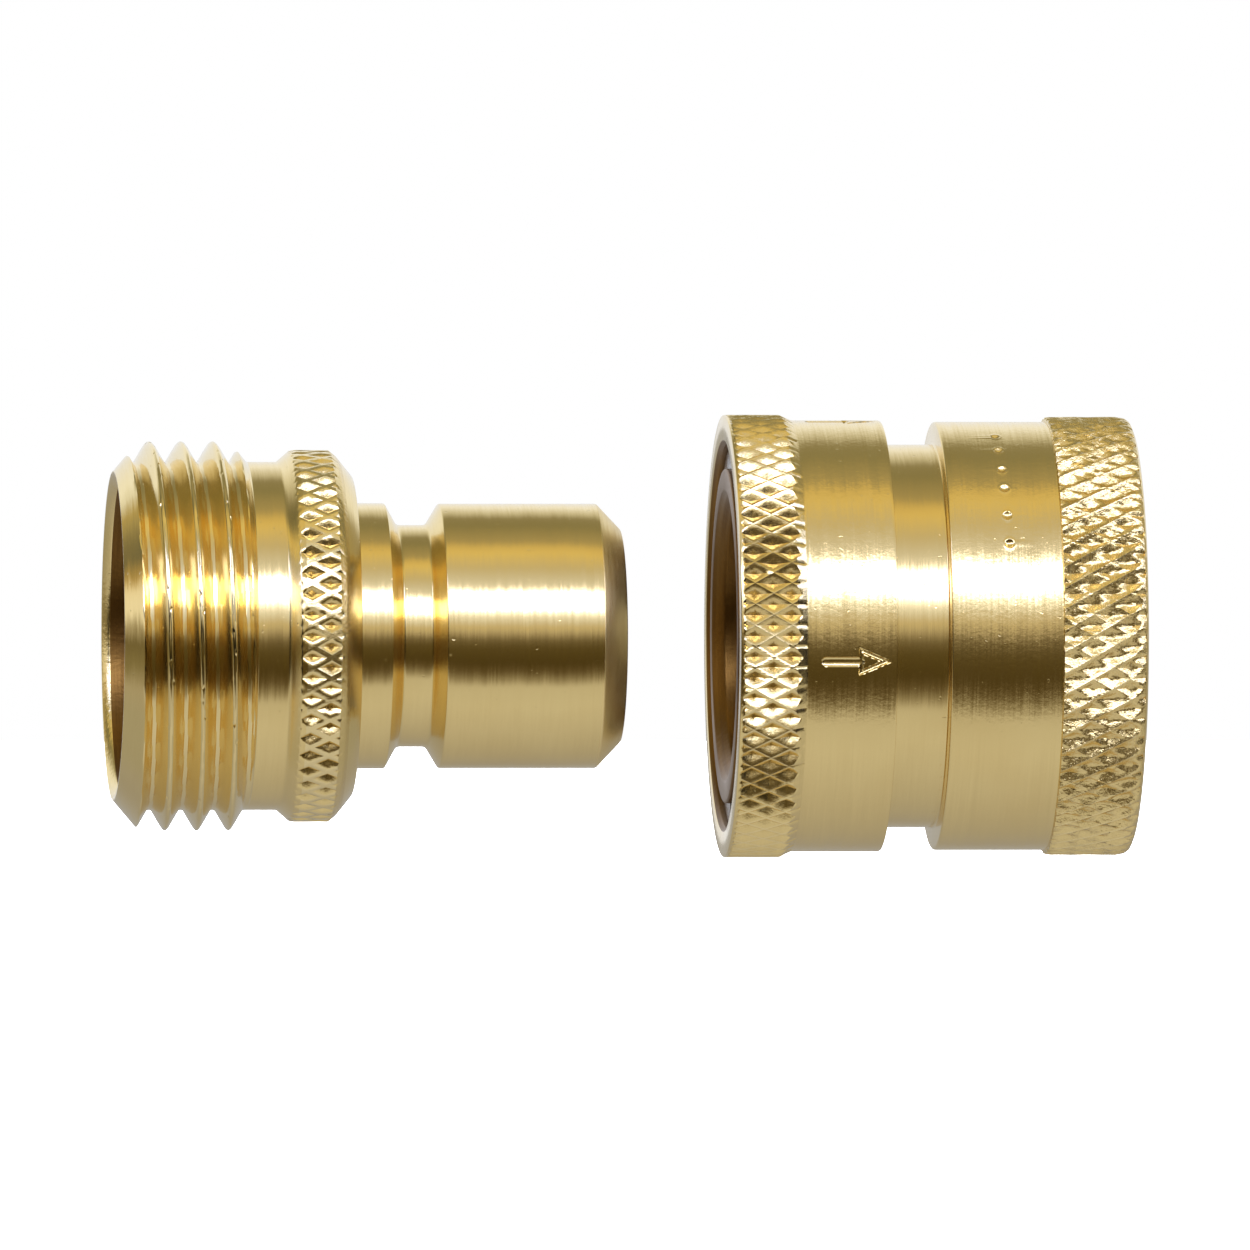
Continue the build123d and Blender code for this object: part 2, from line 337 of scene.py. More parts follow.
def plug_corners():
    """Outline of the plug from its mouth round to the waterway, with x from the mouth."""
    first, last, row = knurl_rows(COLLAR_KNURL, 12.27, 15.06)
    return [
        (0.5, 10.7, 0.06, 0, "rim"),
        (0.0, 11.2, 0.05, 0, "rim"),
        (0.0, LEAD_IN_R, 0.04, 0.09, "thread"),
        (0.56, NECK_R, 0, 0.09, "thread"),
        (9.24, NECK_R, 0, 0, "turned"),
        (11.33, NECK_R, 0.12, 0, "turned"),
        (11.6, 12.296, 0, 0.12, "chamfer"),
        (12.2, 12.82, 0, 0.18, "chamfer"),
        (first, COLLAR_KNURL["r"], 0, row, "knurl"),
        (last, COLLAR_KNURL["r"], 0, 0.12, "knurl"),
        (15.35, 12.5, 0, 0.2, "knurl"),
        (15.6, 12.2, 0, 0, "turned"),
        (16.49, 11.1, 0.1, 0, "turned"),
        (16.49, 9.2, 0.18, 0, "turned"),
        (18.77, 9.2, 0.1, 0, "turned"),
        (19.61, 7.685, 0.25, 0, "turned"),
        (21.67, 7.685, 0.25, 0, "turned"),
        (22.57, 9.165, 0.1, 0, "turned"),
        (33.49, 9.165, 0.06, 0, "nose"),
        (35.17, 7.4, 0.1, 0, "face"),
        (35.17, WATERWAY_R, 0.12, 0, "bore"),
        (13.2, WATERWAY_R, 0.2, 0, "bore"),
        (10.7, 10.7, 0.3, 0, "bore"),
    ]


# ---------------------------------------------------------------- socket body


def socket_relief(x, phi, r, zones):
    """Uneven knurl, punched dots on the smooth band and the female hose thread inside."""
    knurl = np.minimum(r, BODY_KNURL["r"] - ragged_cut(x, phi, BODY_KNURL))
    dots = np.zeros_like(r)
    for centre in DOT_PHIS:
        across = (phi - centre + 180) % 360 - 180
        middle = DOT_X + DOT_SLANT * (centre - DOT_MIDDLE_PHI)
        away = np.hypot(x - middle, np.radians(across) * BODY_BAND_R)
        pit = np.clip(1 - away / DOT_R, 0, 1)
        rim = np.exp(-(((away - DOT_R * 1.15) / 0.08) ** 2))
        dots += DOT_RIM * rim - DOT_DEPTH * np.sin(pit * math.pi / 2)
    fade = np.clip((x - 22.6) / 0.5, 0, 1)
    groove = (THREAD_DEPTH - ridge_height(x, phi, SOCKET_END + 0.3, 0.12)) * 0.8
    thread = np.maximum(r, MINOR_R + fade * (groove - 0.12))
    result = np.where((zones == "band")[:, None], r + dots, r)
    result = np.where((zones == "knurl")[:, None], knurl, result)
    return np.where((zones == "thread")[:, None], thread, result)


def socket_corners():
    """Outline of the socket's body from its nose, along the outside and back through the bores."""
    end = SOCKET_END
    first, last, row = knurl_rows(BODY_KNURL, 22.5, end - 0.8)
    return [
        (0.1, 10.1, 0.1, 0, "bore"),
        (0.1, 11.6, 0.18, 0, "bore"),
        (0.6, 11.6, 0.04, 0, "bore"),
        (0.6, 10.7, 0, 0, "bore"),
        (1.32, 10.7, 0, 0, "bore"),
        (1.32, 11.6, 0.04, 1.2, "bore"),
        (11.2, 11.6, 0.1, 0, "bore"),
        (11.2, 12.88, 0, 0, "bore"),
        (10.0, 12.88, 0, 0, "turned"),
        (10.0, 13.27, 0.05, 0, "turned"),
        (14.6, 13.27, 0.16, 0, "turned"),
        (14.6, BODY_BAND_R, 0.22, 0, "band"),
        (18.1, BODY_BAND_R, 0, 0.075, "band"),
        (19.15, BODY_BAND_R, 0, 0, "band"),
        (22.34, BODY_BAND_R, 0, 0, "knurl"),
        (22.42, 15.15, 0, 0, "knurl"),
        (first, BODY_KNURL["r"], 0, row, "knurl"),
        (last, BODY_KNURL["r"], 0, 0.15, "knurl"),
        (end - 0.45, 15.1, 0, 0.12, "knurl"),
        (end - 0.2, 14.93, 0, 0, "turned"),
        (end, 14.5, 0.2, 0, "face"),
        (end, MINOR_R + 0.5, 0.08, 0.25, "face"),
        (end - 0.5, MINOR_R, 0, 0.15, "thread"),
        (22.5, MINOR_R, 0, 0, "bore"),
        (22.5, 12.95, 0.06, 0, "bore"),
        (19.9, 12.95, 0.1, 0, "bore"),
        (19.9, 7.8, 0.1, 0, "bore"),
        (19.0, 7.8, 0.1, 0, "bore"),
        (19.0, 9.25, 0.12, 0, "bore"),
        (15.2, 9.25, 0.05, 0, "bore"),
        (15.2, 11.2, 0.12, 0, "bore"),
        (12.4, 11.2, 0.12, 0, "bore"),
        (12.4, 9.25, 0.05, 1.2, "bore"),
        (0.95, 9.25, 0.1, 0, "bore"),
    ]


def ball_cutter():
    """Closed tools for the lock balls' holes: for each ball a round seat below and a drilled wall above.

    The seat is a little wider than the ball and closes in below its middle, so the ball can't fall through.
    """
    ball_low, ball_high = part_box("lock_ball_1")
    centre_x = (ball_low[0] + ball_high[0]) / 2
    centre_r = (ball_low[2] + ball_high[2]) / 2
    radius = (ball_high[2] - ball_low[2]) / 2
    seat, drill = radius + 0.015 * MM, radius + 0.045 * MM
    levels = [(seat * math.cos(t), seat * math.sin(t)) for t in np.radians(np.arange(-50, 1, 5))]
    levels += [(drill, 0.02 * MM), (drill, 3.0 * MM)]
    sides = 48
    verts, faces = [], []
    for index in range(BALL_COUNT):
        turn = math.radians(index * 360 / BALL_COUNT)
        up = np.array([0, -math.sin(turn), math.cos(turn)])
        side = np.array([0, math.cos(turn), math.sin(turn)])
        start = len(verts)
        for ring_r, height in levels:
            middle = np.array([centre_x, 0, 0]) + up * (centre_r + height)
            for k in range(sides):
                spin = 2 * math.pi * k / sides
                flat = np.array([1, 0, 0]) * math.cos(spin) * ring_r + side * math.sin(spin) * ring_r
                verts.append(tuple(middle + flat))
        for level in range(len(levels) - 1):
            for k in range(sides):
                a = start + level * sides + k
                b = start + level * sides + (k + 1) % sides
                faces.append((a, b, b + sides, a + sides))
        top = start + (len(levels) - 1) * sides
        faces.append(tuple(start + k for k in reversed(range(sides))))
        faces.append(tuple(top + k for k in range(sides)))
    mesh = bpy.data.meshes.new("ball_cutter")
    mesh.from_pydata(verts, [], faces)
    mesh.update()
    cutter = bpy.data.objects.new("ball_cutter", mesh)
    bpy.context.scene.collection.objects.link(cutter)
    return cutter


def cut_ball_holes(body):
    """Cut a hole for each lock ball through the socket's nose."""
    cutter = ball_cutter()
    mesh = cutter.data
    apply_modifier(body, "BOOLEAN", {"object": cutter, "operation": "DIFFERENCE", "solver": "EXACT"})
    bpy.data.objects.remove(cutter)
    bpy.data.meshes.remove(mesh)


def apply_modifier(obj, kind, settings):
    """Replace the object's mesh with the result of one modifier."""
    modifier = obj.modifiers.new("step", kind)
    for key, value in settings.items():
        setattr(modifier, key, value)
    depsgraph = bpy.context.evaluated_depsgraph_get()
    made = bpy.data.meshes.new_from_object(obj.evaluated_get(depsgraph), depsgraph=depsgraph)
    old = obj.data
    obj.modifiers.clear()
    obj.data = made
    made.name = old.name
    bpy.data.meshes.remove(old)


# ---------------------------------------------------------------- release sleeve


def arrow_depth(x, across):
    """Depth of the stamped arrow at x and at a distance across from its middle line."""
    start, end = ARROW_SHAFT
    beyond = np.maximum(0, np.maximum(start + ARROW_SHAFT_HALF - x, x - end))
    away = np.hypot(across, beyond)
    shaft = np.sqrt(np.clip(1 - (away / ARROW_SHAFT_HALF) ** 2, 0, 1))
    base, tip = ARROW_HEAD
    slope = ARROW_HEAD_HALF / (tip - base)
    side = ((tip - x) * slope - np.abs(across)) / math.hypot(1, slope)
    inside = np.minimum(side, x - base)
    edge = np.clip(inside / ARROW_GROOVE, 0, 1)
    head = np.sin(edge * math.pi)
    return ARROW_DEPTH * np.maximum(shaft, head)


def sleeve_relief(x, phi, r, zones):
    """Knurled front band and the stamped arrows, spaced evenly around the sleeve."""
    knurl = np.minimum(r, SLEEVE_KNURL["r"] - pitted_cut(x, phi, SLEEVE_KNURL))
    apart = 360 / ARROW_COUNT
    across = np.radians((phi - ARROW_PHI + apart / 2) % apart - apart / 2) * SLEEVE_BAND_R
    stamped = r - arrow_depth(x, across)
    result = np.where((zones == "band")[:, None], stamped, r)
    return np.where((zones == "knurl")[:, None], knurl, result)


def sleeve_corners():
    """Outline of the sleeve from its front face, along the outside and back through the bores."""
    first, last, row = knurl_rows(SLEEVE_KNURL, 0.3, 4.1)
    return [
        (0.0, 13.6, 0.04, 0, "turned"),
        (0.0, SLEEVE_KNURL["r"], 0.28, 0, "turned"),
        (first, SLEEVE_KNURL["r"], 0, row, "knurl"),
        (last, SLEEVE_KNURL["r"], 0, 0.13, "knurl"),
        (4.68, SLEEVE_BAND_R, 0.06, 0, "band"),
        (5.2, SLEEVE_BAND_R, 0, 0.09, "band"),
        (10.56, SLEEVE_BAND_R, 0, 0, "band"),
        (10.87, SLEEVE_BAND_R, 0.24, 0, "turned"),
        (10.87, 13.3, 0.1, 0, "bore"),
        (4.7, 13.3, 0.1, 0, "bore"),
        (4.7, 12.142, 0.08, 0, "bore"),
        (3.85, 12.142, 0.1, 0, "bore"),
        (1.085, 13.3, 0.15, 0, "bore"),
        (0.3, 13.3, 0.04, 0, "bore"),
    ]


# ---------------------------------------------------------------- small parts


def spring_coil(material):
    """Compression spring with closed ends, as a tube swept along its own helix."""
    low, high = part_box("sleeve_spring")
    wire = 0.35 * MM
    mean_r = high[2] - wire
    turns, closed = 4.25, 0.75
    steps, sides = 360, 14
    t = np.linspace(0, turns, steps + 1)
    active = np.clip(t - closed, 0, turns - 2 * closed)
    flat_rise = 2 * wire * 1.02
    free = (high[0] - low[0] - 2 * wire) - flat_rise * 2 * closed
    rise = flat_rise * (t - active) + free * active / (turns - 2 * closed)
    turn = 2 * math.pi * t
    centre = np.stack([low[0] + wire + rise, -mean_r * np.cos(turn), mean_r * np.sin(turn)], -1)
    outward = np.stack([np.zeros_like(turn), -np.cos(turn), np.sin(turn)], -1)
    spin = 2 * math.pi * np.arange(sides) / sides
    from_axis = outward[:, None] * np.cos(spin)[None, :, None]
    along_axis = np.array([1.0, 0, 0]) * np.sin(spin)[None, :, None]
    ring = wire * (from_axis + along_axis)
    verts = (centre[:, None] + ring).reshape(-1, 3)
    verts = np.concatenate([verts, centre[:1], centre[-1:]])
    i, k = np.meshgrid(np.arange(steps), np.arange(sides), indexing="ij")
    nk = (k + 1) % sides
    a, b, c, d = i * sides + k, i * sides + nk, (i + 1) * sides + nk, (i + 1) * sides + k
    faces = np.concatenate([np.stack([a, b, c], -1).reshape(-1, 3), np.stack([a, c, d], -1).reshape(-1, 3)])
    ends = np.arange(sides)
    first = np.stack([np.full(sides, len(verts) - 2), (ends + 1) % sides, ends], -1)
    last_ring = steps * sides
    last = np.stack([np.full(sides, len(verts) - 1), last_ring + ends, last_ring + (ends + 1) % sides], -1)
    faces = np.concatenate([faces, first, last])
    return mesh_object("spring_coil", verts, faces, [material], sharp=60)


def plain_relief(x, phi, r, zones):
    """No relief: the outline's own radius."""
    return r


def washer_ring(material):
    """Moulded hose washer with rounded edges and a raised bead on each face."""
    low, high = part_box("hose_washer")
    start, end = low[0] / MM, high[0] / MM
    inner, outer = 7.95, high[2] / MM
    bead = 0.14
    corners = [
        (start + bead, inner, 0.3, 0.4, "rubber"),
        (start + bead, inner + 1.6, 0.15, 0.3, "rubber"),
        (start, inner + 2.0, 0.2, 0.3, "rubber"),
        (start, inner + 2.7, 0.2, 0.3, "rubber"),
        (start + bead, inner + 3.1, 0.15, 0.4, "rubber"),
        (start + bead, outer, 0.5, 0.4, "rubber"),
        (end - bead, outer, 0.5, 0.4, "rubber"),
        (end - bead, inner + 3.1, 0.15, 0.3, "rubber"),
        (end, inner + 2.7, 0.2, 0.3, "rubber"),
        (end, inner + 2.0, 0.2, 0.3, "rubber"),
        (end - bead, inner + 1.6, 0.15, 0.4, "rubber"),
        (end - bead, inner, 0.3, 0.4, "rubber"),
    ]
    return turned("washer_ring", corners, ring_angles(180), plain_relief, {"rubber": material}, 0.0)


# ---------------------------------------------------------------- materials


class Graph:
    """Small helper for building a node tree. A value can be a number, a colour or a socket."""

    def __init__(self, tree):
        self.tree = tree

    def put(self, socket, value):
        if isinstance(value, bpy.types.NodeSocket):
            self.tree.links.new(value, socket)
        elif value is not None:
            socket.default_value = value

    def node(self, kind, settings=None, inputs=None):
        made = self.tree.nodes.new(kind)
        for key, value in (settings or {}).items():
            setattr(made, key, value)
        for key, value in (inputs or {}).items():
            self.put(made.inputs[key], value)
        return made

    def math(self, operation, a, b=None):
        made = self.node("ShaderNodeMath", {"operation": operation}, {0: a, 1: b})
        return made.outputs[0]

    def vector(self, operation, a, b=None):
        made = self.node("ShaderNodeVectorMath", {"operation": operation}, {0: a, 1: b})
        return made.outputs[0]

    def scaled(self, vector, amount):
        made = self.node("ShaderNodeVectorMath", {"operation": "SCALE"}, {0: vector, "Scale": amount})
        return made.outputs[0]

    def noise(self, vector, scale, detail=2.0, rough=0.5):
        inputs = {"Vector": vector, "Scale": scale, "Detail": detail, "Roughness": rough}
        return self.node("ShaderNodeTexNoise", None, inputs).outputs["Fac"]

    def span(self, value, low, high, to_low=0.0, to_high=1.0):
        inputs = {0: value, 1: low, 2: high, 3: to_low, 4: to_high}
        return self.node("ShaderNodeMapRange", {"clamp": True}, inputs).outputs[0]

    def mix(self, amount, a, b, blend="MIX"):
        made = self.node("ShaderNodeMix", {"data_type": "RGBA", "blend_type": blend})
        self.put(made.inputs[0], amount)
        self.put(made.inputs[6], a)
        self.put(made.inputs[7], b)
        return made.outputs[2]

    def ramp(self, value, stops):
        made = self.node("ShaderNodeValToRGB", None, {0: value})
        elements = made.color_ramp.elements
        while len(elements) < len(stops):
            elements.new(0.5)
        for element, (position, colour) in zip(elements, stops):
            element.position = position
            element.color = (*colour, 1.0)
        return made.outputs[0]


# Brass where it is clean, in the thread, on a rib (wear and a painted highlight), in a pit (painted shade),
# tarnished, and inside the bores (painted shade)
BRASS = (0.885, 0.70, 0.325, 1.0)
BRASS_THREAD = (0.885, 0.72, 0.365, 1.0)
# Rib-top tone: wear and a painted highlight
BRASS_WORN_HIGHLIGHT = (0.95, 0.80, 0.45, 1.0)
# Pit tone: painted shade
BRASS_PIT_SHADE = (0.74, 0.55, 0.22, 1.0)
BRASS_TARNISH = (0.78, 0.58, 0.235, 1.0)
# Painted shade: the bores' brass is painted dark for the shade inside them, and its second tone darker still,
# shade and tarnish
BORE_SHADE = (0.27, 0.145, 0.036, 1.0)
BORE_SHADE_TARNISH = (0.17, 0.085, 0.02, 1.0)


def new_material(name):
    """Empty material with one surface shader: the material, its graph and the shader."""
    material = bpy.data.materials.new(name)
    material.use_nodes = True
    material.node_tree.nodes.clear()
    graph = Graph(material.node_tree)
    surface = graph.node("ShaderNodeBsdfPrincipled")
    output = graph.node("ShaderNodeOutputMaterial")
    graph.put(output.inputs["Surface"], surface.outputs[0])
    return material, graph, surface


def brass(
    name,
    rough=0.15,
    tilt=0.05,
    streak=9000,
    around=300,
    grain=0.0,
    spread=0.5,
    lined=0.2,
    cut=None,
    tones=(BRASS, BRASS_TARNISH),
):
    """Turned brass. tilt is how far the tool's rings lean the surface, streak how fine they are.

    lined is how much of the second tone the rings show. cut is an outside radius and a depth, in mm: below it
    the metal is darker in colour, a painted shade in the pits, and at it lighter, partly wear and partly a
    painted highlight.
    """
    material, graph, surface = new_material(name)
    where = graph.node("ShaderNodeTexCoord").outputs["Object"]
    geometry = graph.node("ShaderNodeNewGeometry")
    rings = graph.vector("MULTIPLY", where, (1.0, around / streak, around / streak))
    fine = graph.noise(rings, streak, 3.0, 0.6)
    broad = graph.noise(rings, streak * 0.22, 2.0, 0.5)
    lines = graph.math("ADD", graph.math("MULTIPLY", fine, 0.65), graph.math("MULTIPLY", broad, 0.35))
    lean = graph.math("MULTIPLY", graph.math("SUBTRACT", lines, 0.5), tilt * 2)
    circle = graph.vector("NORMALIZE", graph.vector("CROSS_PRODUCT", (1.0, 0.0, 0.0), where))
    leaning = graph.vector("ADD", geometry.outputs["Normal"], graph.scaled(circle, lean))
    normal = graph.vector("NORMALIZE", leaning)
    specks = graph.noise(where, 2600, 3.0, 0.65)
    height = graph.math("MULTIPLY", specks, grain)
    nick = graph.span(graph.noise(where, 2600, 1.0, 0.4), 0.75, 0.79)
    height = graph.math("SUBTRACT", height, graph.math("MULTIPLY", nick, 0.12))
    relief = {"Strength": 0.6, "Distance": 0.1 * MM, "Height": height, "Normal": normal}
    bump = graph.node("ShaderNodeBump", None, relief)

    patches = graph.noise(where, 130, 3.0, 0.55)
    colour = graph.mix(graph.span(patches, 0.42, 0.72, 0.0, 0.3), *tones)
    colour = graph.mix(graph.span(lines, 0.35, 0.7, 0.0, lined), colour, tones[1])
    if cut:
        outside, depth = cut
        from_axis = graph.vector("MULTIPLY", where, (0.0, 1 / MM, 1 / MM))
        radius = graph.node("ShaderNodeVectorMath", {"operation": "LENGTH"}, {0: from_axis}).outputs["Value"]
        # Painted shade: the metal darkens below the knurl's outside radius, into its pits
        pit_shade = graph.span(radius, outside - depth * 0.5, outside - depth, 0.0, 0.5)
        # Lighter at the outside radius: wear on the rib tops and a painted highlight
        worn_highlight = graph.span(radius, outside - 0.06, outside, 0.0, 0.6)
        colour = graph.mix(pit_shade, colour, BRASS_PIT_SHADE)
        colour = graph.mix(worn_highlight, colour, BRASS_WORN_HIGHLIGHT)
    polish = graph.span(lines, 0.3, 0.75, rough * 0.75, rough * 1.3)
    roughness = graph.math("ADD", polish, graph.math("MULTIPLY", patches, 0.05))
    tangent = graph.node("ShaderNodeTangent", {"direction_type": "RADIAL", "axis": "X"}).outputs[0]
    graph.put(surface.inputs["Base Color"], colour)
    graph.put(surface.inputs["Metallic"], 1.0)
    graph.put(surface.inputs["Roughness"], roughness)
    graph.put(surface.inputs["Anisotropic"], spread)
    graph.put(surface.inputs["Anisotropic Rotation"], 0.25)
    graph.put(surface.inputs["Tangent"], tangent)
    graph.put(surface.inputs["Normal"], bump.outputs[0])
    return material


def steel(name, colour, rough, lines):
    """Bright steel with a little uneven polish. lines is the scale of its drawing or grinding marks."""
    material, graph, surface = new_material(name)
    where = graph.node("ShaderNodeTexCoord").outputs["Object"]
    marks = graph.noise(graph.vector("MULTIPLY", where, (1.0, 0.3, 0.3)), lines, 3.0, 0.6)
    stain = graph.noise(where, 350, 2.0, 0.5)
    tinted = graph.mix(graph.span(stain, 0.4, 0.75, 0.0, 0.5), colour, (0.36, 0.33, 0.29, 1.0))
    bump = graph.node("ShaderNodeBump", None, {"Strength": 0.15, "Distance": 0.03 * MM, "Height": marks})
    graph.put(surface.inputs["Base Color"], tinted)
    graph.put(surface.inputs["Metallic"], 1.0)
    graph.put(surface.inputs["Roughness"], graph.span(marks, 0.3, 0.7, rough * 0.7, rough * 1.4))
    graph.put(surface.inputs["Normal"], bump.outputs[0])
    return material


def rubber(name, colour, dust):
    """Moulded black rubber with a faint grain and a little dust."""
    material, graph, surface = new_material(name)
    where = graph.node("ShaderNodeTexCoord").outputs["Object"]
    grain = graph.noise(where, 3200, 4.0, 0.7)
    cloud = graph.noise(where, 260, 3.0, 0.6)
    tinted = graph.mix(graph.span(cloud, 0.45, 0.75, 0.0, dust), colour, (0.16, 0.15, 0.14, 1.0))
    bump = graph.node("ShaderNodeBump", None, {"Strength": 0.4, "Distance": 0.04 * MM, "Height": grain})
    graph.put(surface.inputs["Base Color"], tinted)
    graph.put(surface.inputs["Roughness"], graph.span(cloud, 0.3, 0.7, 0.45, 0.7))
    graph.put(surface.inputs["Normal"], bump.outputs[0])
    return material


# ---------------------------------------------------------------- studio


# What the brass mirrors, as (angle in degrees, colour). A reflected ray sees FRONT when it leans little along
# the coupler's axis, FLANK when it leans more, as off a thread's sides, and BESIDE when it runs nearly along
# it. FRONT and FLANK go round the axis: 0 towards the camera, 90 up, 180 behind, -90 down. BESIDE goes by
# height. FRONT and FLANK end on a different colour from the one they start on, which shows as a line at mid
# height in views from behind.
FRONT = [
    (-180, (0.42, 0.42, 0.42)),
    (-150, (0.38, 0.37, 0.36)),
    (-120, (0.47, 0.46, 0.46)),
    (-90, (0.57, 0.56, 0.56)),
    (-65, (0.64, 0.63, 0.62)),
    (-45, (0.61, 0.60, 0.58)),
    (-39, (0.30, 0.27, 0.21)),
    (-32, (0.12, 0.09, 0.045)),
    (-24, (0.072, 0.051, 0.016)),
    (-10, (0.10, 0.075, 0.026)),
    (-3, (0.16, 0.13, 0.075)),
    (2, (0.42, 0.37, 0.29)),
    (6, (0.62, 0.57, 0.46)),
    (8, (0.64, 0.53, 0.28)),
    (10, (0.63, 0.60, 0.56)),
    (20, (1.0, 1.08, 1.4)),
    (25, (4.5, 4.8, 6.5)),
    (38, (4.5, 4.8, 6.5)),
    (42, (0.80, 0.82, 1.0)),
    (50, (0.68, 0.69, 0.76)),
    (62, (0.62, 0.57, 0.45)),
    (78, (0.80, 0.66, 0.30)),
    (84, (0.72, 0.58, 0.26)),
    (91, (0.42, 0.37, 0.22)),
    (112, (0.27, 0.255, 0.16)),
    (125, (0.29, 0.27, 0.18)),
    (135, (0.66, 0.66, 0.62)),
    (150, (1.0, 1.04, 1.12)),
    (180, (0.85, 0.88, 0.95)),
]
FLANK = [
    (-180, (0.36, 0.36, 0.33)),
    (-120, (0.42, 0.41, 0.37)),
    (-60, (0.55, 0.54, 0.53)),
    (-46, (0.44, 0.43, 0.40)),
    (-37, (0.05, 0.04, 0.025)),
    (-22, (0.008, 0.006, 0.002)),
    (2, (0.01, 0.008, 0.003)),
    (11, (0.05, 0.045, 0.035)),
    (24, (0.32, 0.32, 0.38)),
    (36, (0.75, 0.85, 1.2)),
    (42, (2.5, 2.9, 5.4)),
    (63, (2.5, 2.9, 5.4)),
    (70, (0.45, 0.47, 0.46)),
    (84, (0.34, 0.36, 0.35)),
    (92, (0.80, 0.67, 0.28)),
    (101, (0.78, 0.65, 0.28)),
    (108, (0.18, 0.18, 0.12)),
    (128, (0.16, 0.15, 0.10)),
    (134, (0.42, 0.37, 0.20)),
    (140, (0.55, 0.44, 0.18)),
    (147, (0.36, 0.32, 0.19)),
    (180, (0.42, 0.41, 0.36)),
]
BESIDE = [
    (-90, (0.55, 0.54, 0.52)),
    (-28, (0.46, 0.44, 0.40)),
    (-15, (0.44, 0.41, 0.35)),
    (-9, (0.24, 0.21, 0.12)),
    (-2, (0.17, 0.14, 0.07)),
    (3, (0.45, 0.41, 0.32)),
    (7, (0.95, 0.93, 0.90)),
    (13, (0.95, 0.92, 0.86)),
    (17, (0.62, 0.44, 0.14)),
    (23, (0.58, 0.42, 0.14)),
    (30, (0.22, 0.19, 0.08)),
    (50, (0.25, 0.22, 0.12)),
    (90, (0.40, 0.35, 0.22)),
]


def studio_light():
    """World that the brass mirrors: a light floor, a dark front, a bright box above the camera, a light back.

    The camera itself sees plain white.
    """
    world = bpy.data.worlds.new("studio")
    bpy.context.scene.world = world
    world.use_nodes = True
    world.node_tree.nodes.clear()
    graph = Graph(world.node_tree)
    direction = graph.node("ShaderNodeTexCoord").outputs["Generated"]
    split = graph.node("ShaderNodeSeparateXYZ", None, {0: direction})
    x, y, z = split.outputs
    about = graph.math("ARCTAN2", z, graph.math("MULTIPLY", y, -1.0))
    turn = graph.math("ADD", graph.math("DIVIDE", about, 2 * math.pi), 0.5)
    main = graph.ramp(turn, [((angle + 180) / 360, colour) for angle, colour in FRONT])
    slanting = graph.ramp(turn, [((angle + 180) / 360, colour) for angle, colour in FLANK])
    height = graph.math("ADD", graph.math("DIVIDE", graph.math("ARCSINE", z), math.pi), 0.5)
    sides = graph.ramp(height, [((angle + 90) / 180, colour) for angle, colour in BESIDE])
    lean = graph.math("ABSOLUTE", x)
    seen = graph.mix(graph.span(lean, 0.62, 0.72), main, slanting)
    seen = graph.mix(graph.span(lean, 0.9, 0.96), seen, sides)
    camera_ray = graph.node("ShaderNodeLightPath").outputs["Is Camera Ray"]
    lit = graph.node("ShaderNodeBackground", None, {0: seen, 1: 1.0})
    plain = graph.node("ShaderNodeBackground", None, {0: (1.0, 1.0, 1.0, 1.0), 1: 1.0})
    mixed = graph.node("ShaderNodeMixShader", None, {0: camera_ray, 1: lit.outputs[0], 2: plain.outputs[0]})
    output = graph.node("ShaderNodeOutputWorld")
    graph.put(output.inputs["Surface"], mixed.outputs[0])


def daylight():
    """Broad soft light for the floor. The brass doesn't mirror it."""
    data = bpy.data.lights.new("daylight", "SUN")
    data.energy = 7.0
    data.angle = math.radians(120)
    lamp = bpy.data.objects.new("daylight", data)
    lamp.rotation_euler = (math.radians(18), math.radians(8), 0)
    lamp.visible_glossy = False
    bpy.context.scene.collection.objects.link(lamp)


def studio_floor():
    """Plain pale floor just under the part. It glows, so that the part leaves no dark line on it."""
    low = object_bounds()[0]
    size = 3.0
    mesh = bpy.data.meshes.new("floor")
    level = low[2] - 0.02 * MM
    corners = [(-size, -size, level), (size, -size, level), (size, size, level), (-size, size, level)]
    mesh.from_pydata(corners, [], [(0, 1, 2, 3)])
    floor = bpy.data.objects.new("floor", mesh)
    bpy.context.scene.collection.objects.link(floor)
    material, graph, surface = new_material("floor_paper")
    where = graph.node("ShaderNodeTexCoord").outputs["Object"]
    tone = graph.noise(where, 40, 3.0, 0.5)
    graph.put(surface.inputs["Base Color"], graph.mix(tone, (0.93, 0.93, 0.93, 1.0), (0.9, 0.9, 0.9, 1.0)))
    graph.put(surface.inputs["Roughness"], 0.9)
    graph.put(surface.inputs["Specular IOR Level"], 0.1)
    graph.put(surface.inputs["Emission Color"], (1.0, 1.0, 1.0, 1.0))
    graph.put(surface.inputs["Emission Strength"], 0.75)
    mesh.materials.append(material)
    floor.visible_glossy = False


def camera():
    """Very long lens, far off and a little to the left of square on, so both halves are seen alike."""
    data = bpy.data.cameras.new("camera")
    data.lens = 1246.7
    data.sensor_width = 36
    data.clip_end = 20
    cam = bpy.data.objects.new("camera", data)
    bpy.context.scene.collection.objects.link(cam)
    target = Vector((-6.8 * MM, 0, 0.76 * MM))
    azimuth = math.radians(-4.8)
    distance = 3.0
    cam.location = target + Vector((math.sin(azimuth), -math.cos(azimuth), 0)) * distance
    cam.rotation_mode = "QUATERNION"
    cam.rotation_quaternion = (target - cam.location).to_track_quat("-Z", "Y")
    bpy.context.scene.camera = cam


# ---------------------------------------------------------------- build


